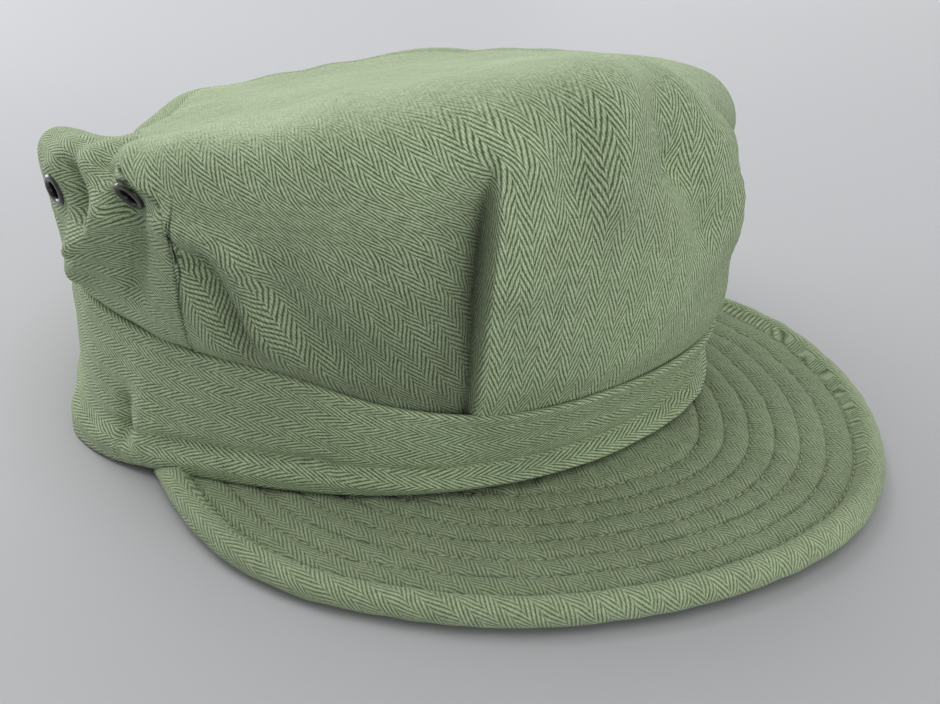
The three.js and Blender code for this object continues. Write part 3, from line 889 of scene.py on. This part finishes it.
def band_rows():
    """A path just below the band's top edge, and one in the crease where the brim is sewn on."""
    angle = np.linspace(-180, 180, 1400)
    height = around(BAND, "top_z", angle) - around(BAND, "bottom_z", angle)
    paths = []
    for share, reach in (
        (1 - BAND_ROW_DROP / height, 180),
        (np.full_like(angle, CREASE_SHARE), 82),
    ):
        kept = np.abs(angle) <= reach
        points = band_point(angle[kept], share[kept])
        outwards = unit(on_head(angle[kept], 0, 0) * [1, 1, 0])
        paths.append((points + outwards * 0.05, outwards))
    return paths


# Eyelets
def eyelet(name, place, outward, material):
    """A rolled ring, turned about the eyelet's own axis: a closed section carried round. The
    section's places are a distance from the axis and a height above the cloth."""
    bore, rim, neck = EYELET_BORE, EYELET_RADIUS, EYELET_BORE + 0.6
    section = np.array([
        [bore, -2.6], [bore, 0.1], [bore + 0.15, 0.42], [bore + 0.5, 0.66], [bore + 0.95, 0.75],
        [rim - 0.45, 0.62], [rim - 0.12, 0.35], [rim, 0.05], [rim - 0.1, -0.1], [neck, -0.1],
        [neck, -1.3], [rim - 0.4, -1.3], [rim - 0.3, -1.8], [rim - 0.7, -2.4],
    ])
    turn = np.linspace(0, 2 * math.pi, 57)[:, None]
    side = unit(np.cross(outward, [0.0, 0.0, 1.0]))
    up = np.cross(side, outward)
    radial = np.cos(turn)[..., None] * side + np.sin(turn)[..., None] * up
    points = place + radial * section[None, :, :1] + outward * section[None, :, 1:]
    cloth = np.zeros((len(turn), len(section) + 1, 2))
    shell = Shell()
    shell.add_grid(shell.add_points(points[:-1]), cloth, wrap=True, rows_wrap=True)
    return shell.finish(name, material)


# Materials
def join(tree, node, inputs):
    """Sets a node's inputs to values, or joins them to other nodes."""
    for socket, value in inputs.items():
        if isinstance(value, bpy.types.NodeSocket):
            tree.links.new(value, node.inputs[socket])
        else:
            node.inputs[socket].default_value = value


def add(tree, kind, inputs=None, **settings):
    """A node with its settings and its inputs."""
    made = tree.nodes.new(kind)
    for name, value in settings.items():
        setattr(made, name, value)
    join(tree, made, inputs or {})
    return made


def maths(tree, operation, *values):
    """One operation on numbers."""
    return add(tree, "ShaderNodeMath", dict(enumerate(values)), operation=operation).outputs[0]


def vector_maths(tree, operation, *values):
    """One operation on places."""
    inputs = dict(enumerate(values))
    return add(tree, "ShaderNodeVectorMath", inputs, operation=operation).outputs[0]


def mixed(tree, factor, first, second, blend="MIX"):
    """One colour laid over another."""
    node = add(tree, "ShaderNodeMix", {"Factor": factor}, data_type="RGBA", blend_type=blend)
    colours = [place for place, socket in enumerate(node.inputs) if socket.type == "RGBA"]
    join(tree, node, dict(zip(colours, (first, second))))
    return next(socket for socket in node.outputs if socket.type == "RGBA")


def darkened(tree, colour, share):
    """A colour times one number."""
    grey = add(tree, "ShaderNodeCombineColor", {0: share, 1: share, 2: share}).outputs[0]
    return mixed(tree, 1.0, colour, grey, "MULTIPLY")


def noise(tree, place, scale, detail, output="Fac"):
    """Soft patches, about as many to the metre as the scale says."""
    inputs = {"Vector": place, "Scale": scale, "Detail": detail}
    return add(tree, "ShaderNodeTexNoise", inputs).outputs[output]


def carried(tree, name):
    """A number that the piece carries at its points."""
    return add(tree, "ShaderNodeAttribute", attribute_name=name).outputs["Fac"]


def raised(tree, height, strength, distance, **inputs):
    """The normal of a surface that is raised by a height."""
    inputs = {"Height": height, "Strength": strength, "Distance": distance, **inputs}
    return add(tree, "ShaderNodeBump", inputs).outputs["Normal"]


def new_material(name):
    """A material, its tree, its shader and the place on the object."""
    material = bpy.data.materials.new(name)
    material.use_nodes = True
    tree = material.node_tree
    place = add(tree, "ShaderNodeTexCoord").outputs["Object"]
    return material, tree, tree.nodes["Principled BSDF"], place


def herringbone(tree, cloth):
    """The weave's ridges, 0 in the grooves to 1 on the threads. A triangle wave across the cloth
    tilts the twill lines one way and then the other, and they break by half a line between."""
    across, along = add(tree, "ShaderNodeSeparateXYZ", {0: cloth}).outputs[:2]
    half = V_WIDTH / 2 * MM
    slope = math.tan(math.radians(TWILL_ANGLE))
    pitch = TWILL_PITCH * MM / math.cos(math.radians(TWILL_ANGLE))
    zigzag = maths(tree, "MULTIPLY", maths(tree, "PINGPONG", across, half), slope)
    column = maths(tree, "FLOOR", maths(tree, "DIVIDE", across, half))
    side = maths(tree, "FLOORED_MODULO", column, 2.0)
    line = maths(tree, "DIVIDE", maths(tree, "ADD", along, zigzag), pitch)
    line = maths(tree, "ADD", line, maths(tree, "MULTIPLY", side, 0.5))
    wave = maths(tree, "SINE", maths(tree, "MULTIPLY", line, 2 * math.pi))
    ridge = maths(tree, "POWER", maths(tree, "MULTIPLY_ADD", wave, 0.5, 0.5), 0.6)
    yarns = maths(tree, "SINE", maths(tree, "MULTIPLY", across, 2 * math.pi / (YARN_PITCH * MM)))
    return maths(tree, "MULTIPLY", ridge, maths(tree, "MULTIPLY_ADD", yarns, 0.2, 0.8))


def herringbone_cloth(name, light, dark, wrap_top=False, quilted=False):
    """Faded cotton: light twill ridges over darker grooves, uneven yarns, patches of fading. Where
    the cloth wraps the top, its weave runs straight over it and shows with much less contrast. The
    crown's cloth also carries painted shade in the pleats and low on the side wall."""
    material, tree, shader, place = new_material(name)
    uv = add(tree, "ShaderNodeUVMap", uv_map="cloth").outputs["UV"]
    drift = noise(tree, place, 130.0, 1.0, "Color")
    drift = vector_maths(tree, "SUBTRACT", drift, (0.5, 0.5, 0.5))
    drift = vector_maths(tree, "MULTIPLY", drift, (0.0012, 0.0012, 0.0))
    weave = herringbone(tree, vector_maths(tree, "ADD", uv, drift))
    contrast = 1.0
    if wrap_top:
        over = herringbone(tree, vector_maths(tree, "ADD", place, drift))
        on_top = carried(tree, "on_top")
        change = maths(tree, "SUBTRACT", over, weave)
        weave = maths(tree, "MULTIPLY_ADD", change, on_top, weave)
        contrast = maths(tree, "MULTIPLY_ADD", on_top, -0.85, 1.0)
    yarn = noise(tree, place, 2400.0, 2.0)
    fleck = noise(tree, place, 700.0, 3.0)
    fading = noise(tree, place, 28.0, 4.0)
    height = maths(tree, "MULTIPLY", weave, contrast)
    height = maths(tree, "MULTIPLY_ADD", yarn, 0.55, height)
    shade = 0.5
    for pattern, middle, part in ((weave, 0.55, contrast), (yarn, 0.5, 0.9), (fleck, 0.5, 0.5)):
        change = maths(tree, "SUBTRACT", pattern, middle)
        shade = maths(tree, "MULTIPLY_ADD", change, part, shade)
    shade = maths(tree, "MINIMUM", maths(tree, "MAXIMUM", shade, 0.0), 1.0)
    patch = maths(tree, "MULTIPLY_ADD", fading, 0.5, 0.75)
    if wrap_top:
        # Painted shade: darker cloth in the pleats and low on the side wall.
        painted_shade_factor = maths(tree, "MULTIPLY_ADD", carried(tree, "painted_shade"), -0.62, 1.0)
        patch = maths(tree, "MULTIPLY", patch, painted_shade_factor)
    colour = darkened(tree, mixed(tree, shade, dark, light), patch)
    normal = raised(tree, height, 0.55, 0.00035)
    if quilted:
        colour, normal = quilting(tree, colour, normal)
    join(tree, shader, {
        "Base Color": colour, "Normal": normal, "Roughness": 0.92, "Specular IOR Level": 0.15,
        "Sheen Weight": 0.25, "Sheen Roughness": 0.6, "Sheen Tint": (0.8, 0.88, 0.7, 1),
    })
    return material


def quilting(tree, colour, normal):
    """A narrow pressed dip along each row of stitches, from the distance to the rim, with painted
    shade in it. The quilted face is also a little darker than the rim.
    """
    face = carried(tree, "quilted")
    from_seam = maths(tree, "SUBTRACT", carried(tree, "inwards"), RIM_WIDTH * MM)
    rows = maths(tree, "DIVIDE", from_seam, ROW_SPACING * MM)
    to_row = maths(tree, "ABSOLUTE", maths(tree, "SUBTRACT", rows, maths(tree, "ROUND", rows)))
    near = maths(tree, "MAXIMUM", maths(tree, "MULTIPLY_ADD", to_row, -10.0, 1.0), 0.0)
    first_rows = maths(tree, "LESS_THAN", rows, ROW_COUNT - 0.5)
    dip = maths(tree, "MULTIPLY", maths(tree, "MULTIPLY", near, face), first_rows)
    # Painted shade along each stitched row; the quilted face a little darker than the rim.
    darker = maths(tree, "MULTIPLY_ADD", dip, -0.4, maths(tree, "MULTIPLY_ADD", face, -0.16, 1.0))
    pressed = maths(tree, "MULTIPLY", dip, -1.0)
    return darkened(tree, colour, darker), raised(tree, pressed, 0.8, 0.0004, Normal=normal)


def thread(name, colour):
    """Twisted sewing thread: fine uneven ridges with a soft shine."""
    material, tree, shader, place = new_material(name)
    twist = noise(tree, place, 1500.0, 2.0)
    dark = tuple(c * 0.6 for c in colour[:3]) + (1,)
    join(tree, shader, {
        "Base Color": mixed(tree, twist, dark, colour),
        "Normal": raised(tree, twist, 0.3, 0.0001),
        "Roughness": 0.7,
    })
    return material


def black_enamel():
    """Black enamelled brass, glossy, a little worn in patches."""
    material, tree, shader, place = new_material("eyelet_enamel")
    wear = noise(tree, place, 900.0, 4.0)
    join(tree, shader, {
        "Base Color": mixed(tree, wear, (0.006, 0.006, 0.007, 1), (0.03, 0.03, 0.032, 1)),
        "Roughness": maths(tree, "MULTIPLY_ADD", wear, 0.3, 0.14),
        "Coat Weight": 0.5,
    })
    return material


# The cap
CROWN_LIGHT = (0.60, 0.72, 0.48, 1)
CROWN_DARK = (0.07, 0.11, 0.035, 1)
BRIM_LIGHT = (0.52, 0.62, 0.41, 1)
BRIM_DARK = (0.11, 0.155, 0.065, 1)

crown_cloth = herringbone_cloth("crown_twill", CROWN_LIGHT, CROWN_DARK, wrap_top=True)
back_cloth = herringbone_cloth("back_twill", CROWN_LIGHT, CROWN_DARK)
band_cloth = herringbone_cloth("band_twill", CROWN_LIGHT, CROWN_DARK)
brim_cloth = herringbone_cloth("brim_twill", BRIM_LIGHT, BRIM_DARK, quilted=True)
tan_thread = thread("tan_thread", (0.50, 0.53, 0.34, 1))
green_thread = thread("green_thread", (0.44, 0.49, 0.31, 1))
enamel = black_enamel()

for piece, node, slot in (
    (front_and_top_panel(crown_cloth), "crown_front_and_top", "crown_cloth"),
    (back_panel(back_cloth), "crown_back_panel", "crown_cloth"),
    (head_band(band_cloth), "head_band", "band_cloth"),
    (brim(brim_cloth), "brim", "brim_cloth"),
):
    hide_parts(node)
    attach(piece, "root")

for (name, *_), (place, outward) in zip(EYELETS, EYELET_PLACES):
    piece = eyelet(name.replace("eyelet", "ring"), place, outward, enamel)
    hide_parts(name)
    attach(piece, "root")

for piece, slot in (
    (stitches("brim_stitches", brim_rows(), tan_thread, spacing=2.7, slant=6), "brim_cloth"),
    (stitches("band_stitches", band_rows(), green_thread, spacing=2.5, slant=14), "band_cloth"),
):
    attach(piece, "root")


# Floor, light and camera
FLOOR_HALF = 6.0
LIGHT_SIZE = 0.8
LIGHT_DISTANCE = 1.2
LIT_PLACE = Vector((0, 0, 0.04))

PHOTO_WIDTH = 940
FOCAL_PIXELS = 1200.0
CAMERA_AZIMUTH = -36.77
CAMERA_ELEVATION = 26.22
CAMERA_ROLL = -1.52
CAMERA_DISTANCE = 323.12
CAMERA_TARGET = np.array([-9.22, -55.56, 20.0])


def floor():
    """A wide pale plane with a little unevenness in its tone."""
    mesh = bpy.data.meshes.new("floor")
    corners = [(-1, -1), (1, -1), (1, 1), (-1, 1)]
    mesh.from_pydata([(x * FLOOR_HALF, y * FLOOR_HALF, 0) for x, y in corners], [], [(0, 1, 2, 3)])
    material, tree, shader, place = new_material("pale_floor")
    tone = noise(tree, place, 3.0, 2.0)
    join(tree, shader, {
        "Base Color": mixed(tree, tone, (0.48, 0.485, 0.505, 1), (0.51, 0.515, 0.535, 1)),
        "Roughness": 0.6,
        "Specular IOR Level": 0.2,
    })
    mesh.materials.append(material)
    plane = add_object("floor", mesh)


def soft_light(name, azimuth, elevation, power):
    """A square area light that far round and above the cap, turned towards it."""
    turn, rise = math.radians(azimuth), math.radians(elevation)
    level = math.cos(rise)
    way = Vector((math.sin(turn) * level, -math.cos(turn) * level, math.sin(rise)))
    light = bpy.data.lights.new(name, "AREA")
    light.size = LIGHT_SIZE
    light.energy = power
    lamp = add_object(name, light)
    lamp.location = way * LIGHT_DISTANCE
    lamp.rotation_euler = (LIT_PLACE - lamp.location).to_track_quat("-Z", "Y").to_euler()


def world(colour, strength):
    """The same light from all round."""
    scene_world = bpy.data.worlds.new("studio")
    scene_world.use_nodes = True
    background = scene_world.node_tree.nodes["Background"]
    join(scene_world.node_tree, background, {"Color": colour, "Strength": strength})
    bpy.context.scene.world = scene_world


def photo_camera():
    """The photograph's view: looking at the target from an azimuth and an elevation, with a
    slight roll. Its focal length is that of the photograph, as a share of the sensor."""
    azimuth, elevation, roll = np.radians([CAMERA_AZIMUTH, CAMERA_ELEVATION, CAMERA_ROLL])
    back = np.array([math.sin(azimuth) * math.cos(elevation),
                     -math.cos(azimuth) * math.cos(elevation), math.sin(elevation)])
    right = np.array([math.cos(azimuth), math.sin(azimuth), 0.0])
    up = np.cross(back, right)
    rolled_right = right * math.cos(roll) + up * math.sin(roll)
    rolled_up = up * math.cos(roll) - right * math.sin(roll)
    place = (CAMERA_TARGET + back * CAMERA_DISTANCE + HEAD_CENTRE) * MM
    lens = bpy.data.cameras.new("photo_camera")
    lens.sensor_width = 36.0
    lens.lens = lens.sensor_width * FOCAL_PIXELS / PHOTO_WIDTH
    lens.clip_start = 0.01
    camera = add_object("photo_camera", lens)
    turned = Matrix(np.stack([rolled_right, rolled_up, back], 1).tolist()).to_4x4()
    camera.matrix_world = Matrix.Translation(place.tolist()) @ turned
    bpy.context.scene.camera = camera


floor()
for name, azimuth, elevation, power in (
    ("low_back", 200, 12, 8.5),
    ("low_left", 120, 12, 3.5),
    ("low_front", 0, 12, 5.6),
    ("low_right", 240, 12, 1.2),
    ("back", 160, 35, 3.2),
    ("high_back", 200, 60, 2.6),
    ("high_left", 160, 60, 1.0),
    ("high_front", 0, 60, 3.4),
    ("above", 0, 88, 1.2),
):
    soft_light(name, azimuth, elevation, power)
world((1, 1, 1, 1), 0.23)
photo_camera()
bpy.context.scene.view_settings.view_transform = "Standard"
